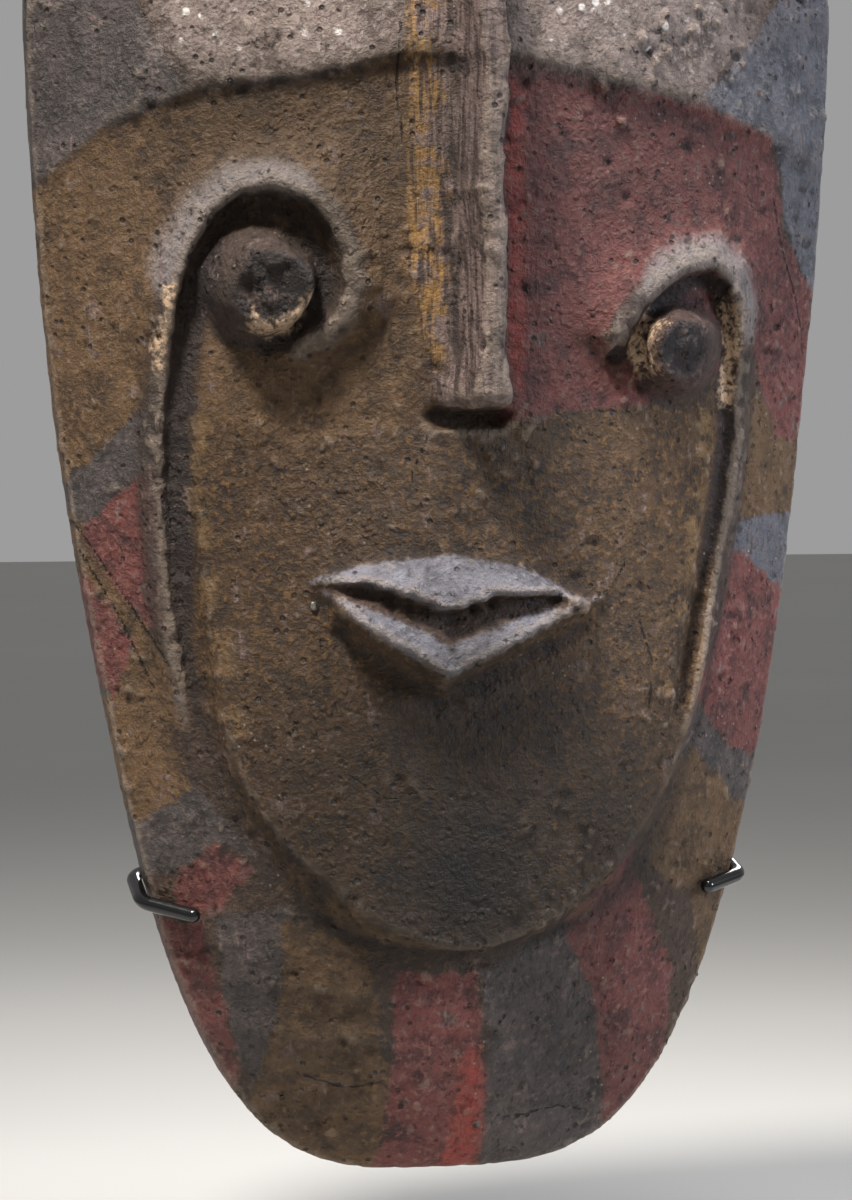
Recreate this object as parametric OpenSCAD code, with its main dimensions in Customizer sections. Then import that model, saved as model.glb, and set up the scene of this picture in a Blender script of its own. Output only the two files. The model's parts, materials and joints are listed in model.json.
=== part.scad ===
// Carved and painted wooden mask on its wall mount.
// The mask is one carved block with a hollow back. The mount is a spine that hangs on a wall plate,
// two sliding arms that hook round the lower flanks, and a sliding clip over the top edge.
// Millimetres. +Z is up, the mask looks along -Y, and the origin is the centre of the wall plate's
// back, so the wall is the plane y = 0.

/* [Mask block] */
// Half of the mask's width at its widest level
mask_half_w = 141; // [115:1:175]
// Height of the widest level above the wall plate's centre
shoulder_z = 145; // [130:1:160]
// Rise of the arched top above the widest level
arch_rise = 105; // [95:1:140]
// Drop from the widest level to the chin's lowest point
chin_drop = 396; // [365:1:480]
// Sideways lean of the chin to the mask's right
chin_lean = 3; // [0:0.5:5]
// Thickness of the block at its outer edge
edge_t = 12; // [9:0.5:16]
// Distance from the rim plane back to the axis of the round front
round_back = 107.7; // [85:0.1:140]
// Thickness of the wood between the hollow and the front
wall_t = 16; // [12:0.5:22]
// Width of the flat rim around the hollow
rim_w = 14; // [11:0.5:18]
// Distance of the rim plane from the wall
rim_off = 30; // [28:0.5:45]

/* [Carved face] */
// Half width of the inner face at its top
face_half_w = 93; // [80:1:100]
// Level of the inner face's upper end
face_top_z = 15; // [5:1:30]
// Length of the inner face down to the chin line
face_drop = 186; // [160:1:200]
// Height of the inner face's step at the chin
face_step = 8; // [3:0.5:10]
// Height of the ridge beside the inner face
ridge_h = 5; // [2:0.5:8]
// Width of the ridge beside the inner face
ridge_w = 8; // [5:0.5:10]
// Width of the groove between the ridge and the inner face
groove_w = 5; // [2:0.5:6]
// Depth of that groove
groove_d = 3; // [1:0.5:6]
// Height of the forehead above the eye plane
brow_step = 3; // [1:0.5:6]
// Height of the nose ridge above the face
nose_h = 18; // [10:0.5:24]
// Level of the nose tip's underside
nose_low_z = 12; // [5:1:20]
// Level up to which the nose ridge keeps its full height
nose_full_z = 155; // [100:1:155]
// Level where the nose ridge runs out into the forehead
nose_high_z = 200; // [160:1:215]
// Height of the lips' free edges above the face
lip_h = 12; // [6:0.5:16]
// Height of each eye knob above the face
knob_h = 15; // [8:0.5:20]
// Radius of the nail head at the corner of the mouth
nail_r = 1.5; // [1:0.1:2.5]

/* [Wall plate] */
// Width of the wall plate
plate_w = 70; // [60:1:90]
// Height of the wall plate
plate_h = 110; // [96:1:140]
// Thickness of the wall plate
plate_t = 4; // [3:0.5:6]
// Spacing of the screw holes across the plate
hole_dx = 44; // [42:1:50]
// Spacing of the screw holes up the plate
hole_dz = 84; // [78:1:90]
// Radius of the screw holes
hole_r = 2.5; // [2:0.1:3]

/* [Hanger] */
// Width of the tongue that drops into the receiver
tongue_w = 20; // [16:1:24]
// Thickness of the tongue
tongue_t = 4; // [3:0.5:5]
// Length of the tongue inside the receiver
tongue_in = 45; // [30:1:48]
// Length of the receiver
receiver_l = 50; // [50:1:60]
// Thickness of the receiver's sheet metal
sheet_t = 1.5; // [1:0.1:2]
// Radius of the receiver's rivets
rivet_r = 1.6; // [1.2:0.1:2]

/* [Spine and crossbar] */
// Width of the spine bar
spine_w = 16; // [14:0.5:22]
// Thickness of the spine bar
spine_t = 6; // [4:0.5:8]
// Level of the crossbar
crossbar_z = 120; // [100:1:125]
// Height of the crossbar
crossbar_h = 12; // [10:1:16]
// Thickness of the crossbar
crossbar_t = 4; // [3:0.5:5]
// Radius of the felt pads that the rim rests on
pad_r = 5; // [4:0.5:6]
// Radius of the frame screws' shanks
screw_r = 2; // [1.5:0.1:2.5]

/* [Arms and clip] */
// Radius of the bent rods
rod_r = 2; // [1.6:0.1:2.5]
// Thickness of the black sleeve on the hooks
sleeve_t = 0.5; // [0.4:0.1:1]
// Radius of the rods' bends, measured to the rod's centre
bend_r = 7; // [6:0.5:9]
// Level of the two arms' straight rods
arm_z = -148; // [-160:1:-140]
// Side of the square guide bars that the rods slide in
guide_s = 10; // [9:0.5:11]
// Half length of the guide bar across the spine
cross_half = 60; // [50:1:70]
// Length of the guide bar at the top
top_guide_l = 80; // [78:1:84]
// Length of each hook's straight tip
tip_l = 16; // [10:1:20]
// Angle by which the left hook slopes down from its rod
left_drop = 18; // [0:1:20]
// Angle by which the right hook slopes down from its rod
right_drop = 12; // [0:1:20]

/* [Clamp screws] */
// Radius of the clamp screws' shanks
clamp_r = 1.5; // [1.2:0.1:2]
// Radius of the knurled heads
head_r = 5; // [4.5:0.1:6]
// Length of the knurled heads
head_l = 6; // [4:0.5:8]
// Distance of each clamp screw from its guide bar's end
clamp_in = 7; // [6:0.5:9]

/* [Hidden] */

$fn = 48;
slip = 0.05;         // radial gap of a running fit
slide_gap = 0.15;    // gap beside the tongue
touch_gap = 0.3;     // gap between a hook or pad and the wood
rest_gap = 0.05;     // gap under the part that rests on the receiver
eps = 1;             // overshoot of a cutting tool

// Exponents that set how full the arched top and the long chin are
arch_power = 2.2;
chin_power_z = 1.4;
chin_power_x = 3.55;
face_power_z = 3.2;
face_power_x = 2.1;

// Places across the wall
rim_y = -rim_off;
axis_y = rim_y + round_back;
plate_y = -plate_t;
tongue_back_y = plate_y - slide_gap;
tongue_front_y = tongue_back_y - tongue_t;
receiver_front_y = tongue_front_y - slide_gap - sheet_t;
spine_back_y = receiver_front_y - 1.2;
spine_front_y = spine_back_y - spine_t;
crossbar_front_y = spine_front_y - crossbar_t;
rod_y = spine_front_y - guide_s / 2;
sleeve_gap = 0.02;
sleeve_r = rod_r + sleeve_gap + sleeve_t;
mask_top_z = shoulder_z + arch_rise;
mask_low_z = shoulder_z - chin_drop;
hook_clear = sleeve_r + touch_gap;

// Half width of the mask, or of a copy that is smaller all round by inset, at a level
function arch_w(z, inset) =
    (mask_half_w - inset)
    * pow(max(0, 1 - pow((z - shoulder_z) / (arch_rise - inset), arch_power)), 1 / arch_power);
function chin_w(z, inset) =
    (mask_half_w - inset)
    * pow(max(0, 1 - pow((shoulder_z - z) / (chin_drop - inset), chin_power_z)), 1 / chin_power_x);
function half_w(z, inset = 0) = z > shoulder_z ? arch_w(z, inset) : chin_w(z, inset);

// Radius of the round front about the upright axis behind the mask, at a level
function front_r(z) = sqrt(pow(half_w(z), 2) + pow(round_back + edge_t, 2));

// Distance of the plain front from the wall, at a place across and up the mask
function front_y(x, z) = axis_y - sqrt(pow(front_r(z), 2) - x * x);

// Levels from the chin to the top, close together where the outline turns quickly
function levels(inset) = concat(
    [for (a = [90:-6:6]) shoulder_z - (chin_drop - inset) * pow(sin(a), 2 / chin_power_z)],
    [for (a = [0:7.5:90]) shoulder_z + (arch_rise - inset) * pow(sin(a), 2 / arch_power)]);

// Sideways shift of the outline at a level: none above the mouth, all of the lean at the chin
lean_from_z = 10;
lean_to_z = -100;
function lean(z) = chin_lean * min(1, max(0, (lean_from_z - z) / (lean_from_z - lean_to_z)));

// Outline of the mask as points across and up
function outline(inset) = let (up = levels(inset), last = len(up) - 1) concat(
    [for (i = [0:last]) [lean(up[i]) + half_w(up[i], inset), up[i]]],
    [for (i = [last - 1:-1:1]) [lean(up[i]) - half_w(up[i], inset), up[i]]]);

// Half width of the inner face at a level
function face_w(z) =
    face_half_w
    * pow(max(0, 1 - pow(max(0, face_top_z - z) / face_drop, face_power_z)), 1 / face_power_x);

// Points on an ellipse
function arc(centre, rx, rz, from, to, steps) =
    [for (i = [0:steps]) let (a = from + (to - from) * i / steps)
        [centre[0] + rx * cos(a), centre[1] + rz * sin(a)]];

// Outline of a band that follows a line of points
function band_side(path, half) = [for (i = [0:len(path) - 1])
    let (
        before = path[max(0, i - 1)],
        after = path[min(len(path) - 1, i + 1)],
        run = after - before
    )
    path[i] + half * [-run[1], run[0]] / norm(run)];
function band(path, half) = let (one = band_side(path, half), other = band_side(path, -half))
    concat(one, [for (i = [len(other) - 1:-1:0]) other[i]]);

// Centre lines of the ridges: up beside the inner face, then round over each eye
left_eye = [-69, 52];
right_eye = [70, 32];
left_coil = [-72, 56];
right_coil = [73, 32];
left_coil_r = [27, 31];
right_coil_r = [26, 30];
ridge_offset = 8;
left_ridge = concat(
    [for (z = [-100:25:0]) [-face_w(z) - ridge_offset, z]],
    [[-101.5, 22], [-100.5, 42]],
    arc(left_coil, left_coil_r[0], left_coil_r[1], 165, -35, 14));
right_ridge = concat(
    [for (z = [-75:25:0]) [face_w(z) + ridge_offset - 1, z]],
    [[99.5, 20]],
    arc(right_coil, right_coil_r[0], right_coil_r[1], 12, 168, 11));
groove_lap = 0.4;
ridge_in = ridge_w / 2 + groove_w / 2 - groove_lap;
left_groove = [for (z = [-75:20:25]) [-face_w(z) - ridge_offset + ridge_in, z]];
right_groove = [for (z = [-55:15:5]) [face_w(z) + ridge_offset - 1 - ridge_in, z]];

// Lower edge of the forehead, dipping over each eye
brow_line = [
    [-150, 76], [-116, 106], [-89, 116], [-58, 118], [-27, 126],
    [8, 126], [30, 122], [60, 114], [89, 107], [112, 102], [150, 124]
];

// Lips, each a plate that stands out most along its free edge
upper_lip = [
    [-54, -44], [-31, -37.5], [-8, -36], [16, -40], [42, -54], [6, -52], [-10, -57], [-29, -50]
];
lower_lip = [
    [-50, -49], [-30, -56], [-9, -66], [16, -57], [42, -50], [15, -66], [-10, -78], [-35, -64]
];
lip_root = 1;
nail_at = [-52, -53];
nail_l = 6;
nail_seat = 0.1;

// ---------------------------------------------------------------- mask

// Everything in front of the rim plane inside an outline
module prism(points) {
    translate([0, rim_y, 0]) rotate([90, 0, 0]) linear_extrude(height = 160) polygon(points);
}

// Round skin between two levels, from under the surface out to the height that a table of
// [level, height] pairs gives
module shaped_skin(z_low, z_high, heights, steps) {
    up = [for (i = [0:steps]) z_low + (z_high - z_low) * i / steps];
    inner = [for (z = up) [front_r(z) - wall_t / 2, z]];
    outer = [for (i = [steps:-1:0]) [front_r(up[i]) + lookup(up[i], heights), up[i]]];
    translate([0, axis_y, 0]) rotate_extrude($fn = 96) polygon(concat(inner, outer));
}

// The same with a height that changes evenly from the lower level to the upper one
module skin(z_low, z_high, h_low, h_high, steps = 6) {
    shaped_skin(z_low, z_high, [[z_low, h_low], [z_high, h_high]], steps);
}

// A raised patch with the given outline
module relief(points, z_low, z_high, h_low, h_high, steps = 6) {
    intersection() {
        skin(z_low, z_high, h_low, h_high, steps);
        prism(points);
    }
}

// Solid of revolution under the front, smaller by a depth
module barrel(depth) {
    profile = [for (z = levels(0)) [front_r(z) - depth, z]];
    translate([0, axis_y, 0])
        rotate_extrude($fn = 96)
            polygon(concat([[0, mask_low_z]], profile, [[0, mask_top_z]]));
}

module block() {
    intersection() {
        barrel(0);
        prism(outline(0));
    }
}

module hollow() {
    intersection() {
        barrel(wall_t);
        translate([0, eps, 0]) prism(outline(rim_w));
    }
}

// Inner face: level with the cheeks at its top and a full step at the chin
module inner_face() {
    low = face_top_z - face_drop;
    right = [for (a = [84:-12:0]) let (z = face_top_z - face_drop * pow(sin(a), 2 / face_power_z))
        [face_w(z), z]];
    left = [for (i = [len(right) - 1:-1:0]) [-right[i][0], right[i][1]]];
    relief(concat([[0, low]], right, left), low - eps, face_top_z + eps, face_step, 0, 8);
}

// A long upright wedge with a narrow crest, a wider tip and a notch under it
module nose() {
    module wedge(base_left, crest_left, crest_right, base_right, z_low, z_high) {
        base_y = axis_y - front_r(shoulder_z) + wall_t + nose_h;
        crest_y = axis_y - front_r(shoulder_z) - nose_h - eps;
        translate([0, 0, z_low])
            linear_extrude(height = z_high - z_low)
                polygon([
                    [base_left, base_y], [crest_left, crest_y],
                    [crest_right, crest_y], [base_right, base_y]
                ]);
    }
    heights = [[nose_low_z, nose_h], [nose_full_z, nose_h], [nose_high_z, nose_h * 0.4]];
    intersection() {
        shaped_skin(nose_low_z, nose_high_z, heights, 8);
        wedge(-14, -1, 5, 15, nose_low_z, nose_high_z);
    }
    intersection() {
        skin(nose_low_z, nose_low_z + 20, nose_h - 4, nose_h - 12, 2);
        wedge(-19, -8, 10, 18, nose_low_z, nose_low_z + 20);
    }
}

module nostril_notch() {
    depth = 8;
    x_left = -17;
    x_right = 12;
    translate([x_left, front_y(0, nose_low_z) - nose_h, nose_low_z - 7])
        cube([x_right - x_left, nose_h + depth, 7]);
}

// Eye knob: a short cone square to the round front
module knob(at, base_r, top_r) {
    turn = asin(at[0] / front_r(at[1]));
    translate([0, axis_y, at[1]])
        rotate([90, 0, turn])
            translate([0, 0, front_r(at[1]) - wall_t / 2])
                cylinder(r1 = base_r, r2 = top_r, h = wall_t / 2 + knob_h);
}

module mask_body() {
    color([0.42, 0.32, 0.25])
        difference() {
            union() {
                block();
                intersection() {
                    union() {
                        relief(concat(brow_line, [[150, 215], [-150, 215]]), 74, 214, brow_step, 0, 8);
                        inner_face();
                        relief(band(left_ridge, ridge_w / 2), -101, 95, ridge_h, ridge_h, 10);
                        relief(band(right_ridge, ridge_w / 2), -76, 70, ridge_h, ridge_h, 8);
                    }
                    prism(outline(0));
                }
                nose();
                knob(left_eye, 16, 10);
                knob(right_eye, 14, 9);
                relief(upper_lip, -58, -35, lip_h, lip_root, 1);
                relief(lower_lip, -79, -48, lip_h, lip_root + 2, 1);
            }
            hollow();
            nostril_notch();
            intersection() {
                difference() {
                    skin(-80, 30, ridge_h + eps, ridge_h + eps, 6);
                    skin(-81, 31, -groove_d, -groove_d, 6);
                }
                prism(band(left_groove, groove_w / 2));
            }
            intersection() {
                difference() {
                    skin(-55, 10, ridge_h + eps, ridge_h + eps, 4);
                    skin(-56, 11, -groove_d, -groove_d, 4);
                }
                prism(band(right_groove, groove_w / 2));
            }
            mouth_nail_hole();
        }
}

// Small domed nail driven in beside the mouth
module mouth_nail_place() {
    turn = asin(nail_at[0] / front_r(nail_at[1]));
    translate([0, axis_y, nail_at[1]])
        rotate([90, 0, turn])
            translate([0, 0, front_r(nail_at[1]) + face_step * (face_top_z - nail_at[1]) / face_drop])
                children();
}

module mouth_nail_hole() {
    mouth_nail_place() translate([0, 0, -nail_l - eps]) cylinder(r = nail_r / 2 + slip, h = 2 * nail_l);
}

module mouth_nail() {
    color([0.7, 0.7, 0.72])
        mouth_nail_place() {
            translate([0, 0, -nail_l]) cylinder(r = nail_r / 2, h = nail_l + nail_seat);
            translate([0, 0, nail_seat]) cylinder(r1 = nail_r, r2 = nail_r * 0.6, h = 0.8);
        }
}

// ---------------------------------------------------------------- wall plate and receiver

flange_w = 8;
receiver_half = tongue_w / 2 + slide_gap + sheet_t;
rivet_x = receiver_half + flange_w / 2;
rivet_z = receiver_l / 2 - 8;
rivet_head_t = 1;

// A round bar along Y from one distance off the wall to another
module across(x, z, y_from, y_to, r) {
    translate([x, y_from, z]) rotate([90, 0, 0]) cylinder(r = r, h = y_from - y_to);
}

// A box given by its middle across and its limits in depth and height
module slab(w, y_from, y_to, z_low, z_high, x = 0) {
    translate([x - w / 2, y_to, z_low]) cube([w, y_from - y_to, z_high - z_low]);
}

module wall_plate() {
    corner = 8;
    color([0.16, 0.16, 0.17])
        difference() {
            union() {
                slab(plate_w - 2 * corner, 0, plate_y, -plate_h / 2, plate_h / 2);
                slab(plate_w, 0, plate_y, corner - plate_h / 2, plate_h / 2 - corner);
                for (side_x = [-1, 1], side_z = [-1, 1])
                    across(side_x * (plate_w / 2 - corner), side_z * (plate_h / 2 - corner),
                           0, plate_y, corner);
            }
            for (side_x = [-1, 1], side_z = [-1, 1]) {
                across(side_x * hole_dx / 2, side_z * hole_dz / 2, eps, plate_y - eps, hole_r);
                across(side_x * rivet_x, side_z * rivet_z, eps, plate_y - eps, rivet_r);
            }
        }
}

// Hat-section strip that leaves a slot for the tongue between itself and the plate
module receiver_channel() {
    crown_back_y = tongue_front_y - slide_gap;
    color([0.3, 0.3, 0.32])
        difference() {
            union() {
                slab(2 * receiver_half, plate_y, receiver_front_y, -receiver_l / 2, receiver_l / 2);
                slab(2 * (receiver_half + flange_w), plate_y, plate_y - sheet_t,
                     -receiver_l / 2, receiver_l / 2);
            }
            slab(2 * (receiver_half - sheet_t), plate_y + eps, crown_back_y,
                 -receiver_l / 2 - eps, receiver_l / 2 + eps);
            for (side_x = [-1, 1], side_z = [-1, 1])
                across(side_x * rivet_x, side_z * rivet_z, eps, plate_y - sheet_t - eps, rivet_r);
        }
}

module receiver_rivets() {
    head_back_y = plate_y - sheet_t;
    color([0.6, 0.6, 0.6])
        for (side_x = [-1, 1], side_z = [-1, 1])
            translate([side_x * rivet_x, head_back_y, side_z * rivet_z]) rotate([90, 0, 0]) {
                translate([0, 0, head_back_y]) cylinder(r = rivet_r, h = -head_back_y);
                cylinder(r1 = 1.7 * rivet_r, r2 = rivet_r, h = rivet_head_t);
            }
}

// ---------------------------------------------------------------- spine and crossbar

spacer_low_z = receiver_l / 2 + rest_gap;
spacer_h = 20;
spacer_high_z = spacer_low_z + spacer_h;
hanger_screw_z = [spacer_low_z + 5, spacer_high_z - 5];
lower_pad_z = mask_low_z + rim_w / 2;
lower_pad_x = lean(lower_pad_z);
upper_pad_x = half_w(crossbar_z) - rim_w / 2;
crossbar_screw_x = spine_w / 4;
top_guide_low_z = crossbar_z + crossbar_h / 2 + 9;
top_guide_high_z = top_guide_low_z + top_guide_l;
spine_top_z = top_guide_high_z - clamp_in - head_r - 1;

module spine_bar() {
    color([0.12, 0.12, 0.13])
        difference() {
            slab(spine_w, spine_back_y, spine_front_y, lower_pad_z - pad_r, spine_top_z);
            for (z = hanger_screw_z) across(0, z, 0, spine_front_y - eps, screw_r);
            for (side = [-1, 1])
                across(side * crossbar_screw_x, crossbar_z, 0, spine_front_y - eps, screw_r);
        }
}

module hanger_tongue() {
    color([0.3, 0.3, 0.32])
        difference() {
            slab(tongue_w, tongue_back_y, tongue_front_y,
                 receiver_l / 2 - tongue_in, spacer_high_z);
            for (z = hanger_screw_z) across(0, z, 0, tongue_front_y - eps, screw_r);
        }
}

module hanger_spacer() {
    color([0.35, 0.35, 0.37])
        difference() {
            slab(tongue_w, tongue_front_y, spine_back_y, spacer_low_z, spacer_high_z);
            for (z = hanger_screw_z) across(0, z, 0, spine_back_y - eps, screw_r);
        }
}

// A cap screw: round head with a hexagon socket, shank back to the given depth
module frame_screw(x, z, seat_y, end_y) {
    head_t = 2.5;
    socket_d = 1.5;
    difference() {
        union() {
            across(x, z, end_y, seat_y, screw_r);
            across(x, z, seat_y, seat_y - head_t, 1.6 * screw_r);
        }
        translate([x, seat_y - head_t + socket_d, z])
            rotate([90, 0, 0])
                cylinder(r = 0.8 * screw_r, h = socket_d + eps, $fn = 6);
    }
}

module hanger_screws() {
    color([0.55, 0.55, 0.57])
        for (z = hanger_screw_z) frame_screw(0, z, spine_front_y, tongue_back_y);
}

module upper_crossbar() {
    half_l = upper_pad_x + pad_r;
    color([0.12, 0.12, 0.13])
        difference() {
            slab(2 * half_l, spine_front_y, crossbar_front_y,
                 crossbar_z - crossbar_h / 2, crossbar_z + crossbar_h / 2);
            for (side = [-1, 1])
                across(side * crossbar_screw_x, crossbar_z, 0, crossbar_front_y - eps, screw_r);
        }
}

module crossbar_screws() {
    color([0.55, 0.55, 0.57])
        for (side = [-1, 1])
            frame_screw(side * crossbar_screw_x, crossbar_z, crossbar_front_y, spine_back_y);
}

// Felt pad with a chamfered face, just short of the mask's rim
module rest_pad(x, z, y_from) {
    face_y = rim_y + touch_gap;
    chamfer = 1;
    across(x, z, y_from, face_y + chamfer, pad_r);
    translate([x, face_y + chamfer, z]) rotate([90, 0, 0])
        cylinder(r1 = pad_r, r2 = pad_r - chamfer, h = chamfer);
}

module left_rest_pad() { color([0.2, 0.2, 0.2]) rest_pad(-upper_pad_x, crossbar_z, crossbar_front_y); }
module right_rest_pad() { color([0.2, 0.2, 0.2]) rest_pad(upper_pad_x, crossbar_z, crossbar_front_y); }
module lower_rest_pad() { color([0.2, 0.2, 0.2]) rest_pad(lower_pad_x, lower_pad_z, spine_front_y); }

// ---------------------------------------------------------------- guides, arms and clip

clamp_x = cross_half - clamp_in;
clamp_z = top_guide_high_z - clamp_in;
bore_r = rod_r + slip;
clamp_hole_r = clamp_r + slip;

module cross_guide() {
    color([0.12, 0.12, 0.13])
        difference() {
            slab(2 * cross_half, spine_front_y, spine_front_y - guide_s,
                 arm_z - guide_s / 2, arm_z + guide_s / 2);
            translate([-cross_half - eps, rod_y, arm_z])
                rotate([0, 90, 0]) cylinder(r = bore_r, h = 2 * (cross_half + eps));
            for (side = [-1, 1])
                translate([side * clamp_x, rod_y, arm_z - guide_s / 2 - eps])
                    cylinder(r = clamp_hole_r, h = guide_s / 2 + eps);
        }
}

module top_guide() {
    color([0.12, 0.12, 0.13])
        difference() {
            slab(guide_s, spine_front_y, spine_front_y - guide_s, top_guide_low_z, top_guide_high_z);
            translate([0, rod_y, top_guide_low_z - eps])
                cylinder(r = bore_r, h = top_guide_l + 2 * eps);
            translate([0, rod_y, clamp_z]) rotate([0, 90, 0])
                cylinder(r = clamp_hole_r, h = guide_s / 2 + eps);
        }
}

// A rod along +X to the origin, then round to -Y for a leg, then back inwards by a turn for a tip.
// The rod is drawn a hair thinner round its bends, and each straight laps a little over the bend.
bend_thin = 0.01;
bend_lap = 0.05;
module bend(angle, r) {
    rotate_extrude(angle = angle) translate([bend_r, 0]) circle(r = r - bend_thin);
}
module bent_rod(straight, leg, turn, r) {
    translate([-straight, 0, 0]) rotate([0, 90, 0]) cylinder(r = r, h = straight + bend_lap);
    translate([0, -bend_r, 0]) bend(90, r);
    translate([bend_r, bend_lap - bend_r, 0])
        rotate([90, 0, 0]) cylinder(r = r, h = leg + 2 * bend_lap);
    translate([0, -bend_r - leg, 0]) rotate([0, 0, -turn]) {
        bend(turn, r);
        translate([bend_r, bend_lap, 0]) rotate([90, 0, 0]) cylinder(r = r, h = tip_l + bend_lap);
    }
}

// Sleeve over the hooked end of such a rod, closed by a dome at the tip
module hook_sleeve(leg, turn) {
    cover = 14;
    difference() {
        union() {
            bent_rod(cover, leg, turn, sleeve_r);
            translate([0, -bend_r - leg, 0]) rotate([0, 0, -turn])
                translate([bend_r, -tip_l, 0]) sphere(r = sleeve_r - bend_thin);
        }
        bent_rod(cover + eps, leg, turn, rod_r + sleeve_gap);
    }
}

// Bends are set to a tenth of a millimetre or of a degree
function to_tenth(size) = round(size * 10) / 10;

// Side hooks: the leg passes the edge and the tip lies along the round front. The plane of each
// hook slopes down about its rod, so distances out from the wall are longer in that plane.
rod_to_rim = rim_off + rod_y;
touch_in = tip_l * 0.6;
function edge_z(drop) = arm_z - rod_to_rim * tan(drop);
function edge_x(drop, side) = half_w(edge_z(drop)) + side * lean(edge_z(drop));
function touch_x(drop, side) = edge_x(drop, side) - touch_in;
function depth_at(x, z) = sqrt(pow(front_r(z), 2) - x * x) - round_back;
function touch_z(drop, side) =
    arm_z - (rod_to_rim + depth_at(touch_x(drop, side), edge_z(drop))) * tan(drop);
function touch_d(drop, side) = depth_at(touch_x(drop, side), touch_z(drop, side));
function side_slope(drop, side) =
    atan(tan(asin(touch_x(drop, side) / front_r(touch_z(drop, side)))) / cos(drop));
function side_turn(drop, side) = to_tenth(90 - side_slope(drop, side));
function leg_x(drop, side) = edge_x(drop, side) + hook_clear;
function side_corner(drop, side) = let (slope = side_slope(drop, side))
    (rod_to_rim + touch_d(drop, side)) / cos(drop) + hook_clear * cos(slope)
    - tan(slope) * (leg_x(drop, side) - touch_x(drop, side) - hook_clear * sin(slope));
function side_leg(drop, side) =
    to_tenth(side_corner(drop, side) - bend_r - bend_r * tan(side_turn(drop, side) / 2));
arm_inner_x = 8;

// An arm is made on the right and mirrored for the left. Side is 1 on the right and -1 on the left.
module place_arm(drop, side) {
    mirror([side < 0 ? 1 : 0, 0, 0])
        translate([leg_x(drop, side) - bend_r, rod_y, arm_z]) rotate([drop, 0, 0]) children();
}

module arm_rod(drop, side) {
    straight = leg_x(drop, side) - bend_r - arm_inner_x;
    color([0.25, 0.25, 0.26])
        place_arm(drop, side)
            bent_rod(straight, side_leg(drop, side), side_turn(drop, side), rod_r);
}

module arm_sleeve(drop, side) {
    color([0.05, 0.05, 0.06])
        place_arm(drop, side) hook_sleeve(side_leg(drop, side), side_turn(drop, side));
}

module left_arm_rod() { arm_rod(left_drop, -1); }
module right_arm_rod() { arm_rod(right_drop, 1); }
module left_arm_sleeve() { arm_sleeve(left_drop, -1); }
module right_arm_sleeve() { arm_sleeve(right_drop, 1); }

// Top hook: the leg passes over the top edge and the tip lies down the front
top_touch_z = mask_top_z - touch_in;
top_slope = atan((front_r(top_touch_z - 1) - front_r(top_touch_z + 1)) / 2);
top_turn = to_tenth(90 - top_slope);
top_leg_z = mask_top_z + hook_clear;
top_touch_d = front_r(top_touch_z) - round_back;
top_corner_d = top_touch_d + hook_clear * cos(top_slope)
    - tan(top_slope) * (top_leg_z - top_touch_z - hook_clear * sin(top_slope));
top_leg = to_tenth(rod_to_rim + top_corner_d - bend_r - bend_r * tan(top_turn / 2));
top_rod_low_z = top_guide_low_z + 2;

module place_clip() { translate([0, rod_y, top_leg_z - bend_r]) rotate([0, -90, 0]) children(); }

module top_clip_rod() {
    color([0.25, 0.25, 0.26])
        place_clip()
            bent_rod(top_leg_z - bend_r - top_rod_low_z, top_leg, top_turn, rod_r);
}
module top_clip_sleeve() {
    color([0.05, 0.05, 0.06]) place_clip() hook_sleeve(top_leg, top_turn);
}

// ---------------------------------------------------------------- clamp screws

// Thumb screw along +Z: its tip is at the origin side and its scalloped head is at the far end
module clamp_screw() {
    tip_gap = 0.1;
    tip_z = rod_r + tip_gap;
    seat_z = guide_s / 2 + 1;
    scallops = 14;
    translate([0, 0, tip_z]) cylinder(r = clamp_r, h = seat_z - tip_z);
    difference() {
        translate([0, 0, seat_z]) cylinder(r = head_r, h = head_l);
        for (i = [0:scallops - 1]) rotate([0, 0, i * 360 / scallops])
            translate([head_r + 0.35, 0, seat_z - eps]) cylinder(r = 0.8, h = head_l + 2 * eps);
    }
}

module left_clamp_screw() {
    color([0.72, 0.6, 0.35]) translate([-clamp_x, rod_y, arm_z]) rotate([180, 0, 0]) clamp_screw();
}
module right_clamp_screw() {
    color([0.72, 0.6, 0.35]) translate([clamp_x, rod_y, arm_z]) rotate([180, 0, 0]) clamp_screw();
}
module top_clamp_screw() {
    color([0.72, 0.6, 0.35]) translate([0, rod_y, clamp_z]) rotate([0, 90, 0]) clamp_screw();
}

mask_body();
mouth_nail();
wall_plate();
receiver_channel();
receiver_rivets();
spine_bar();
hanger_tongue();
hanger_spacer();
hanger_screws();
upper_crossbar();
crossbar_screws();
left_rest_pad();
right_rest_pad();
lower_rest_pad();
cross_guide();
top_guide();
left_arm_rod();
left_arm_sleeve();
right_arm_rod();
right_arm_sleeve();
top_clip_rod();
top_clip_sleeve();
left_clamp_screw();
right_clamp_screw();
top_clamp_screw();
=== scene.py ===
# %% [markdown]
# # A carved and painted mask on its wall mount
# The object is a tall wooden mask, carved from one block and painted with earth pigments, that
# hangs on a small black metal mount. The metal parts come ready made in the frame. This lesson
# makes the carving and every finish. The order is close to a carver's: the lines and big forms,
# the block with its hollow, the knocks of the surface, and last the paint.

# %% Load the frame
import json
import math
import bmesh
import bpy
import numpy as np
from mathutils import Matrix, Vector, noise


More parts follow.
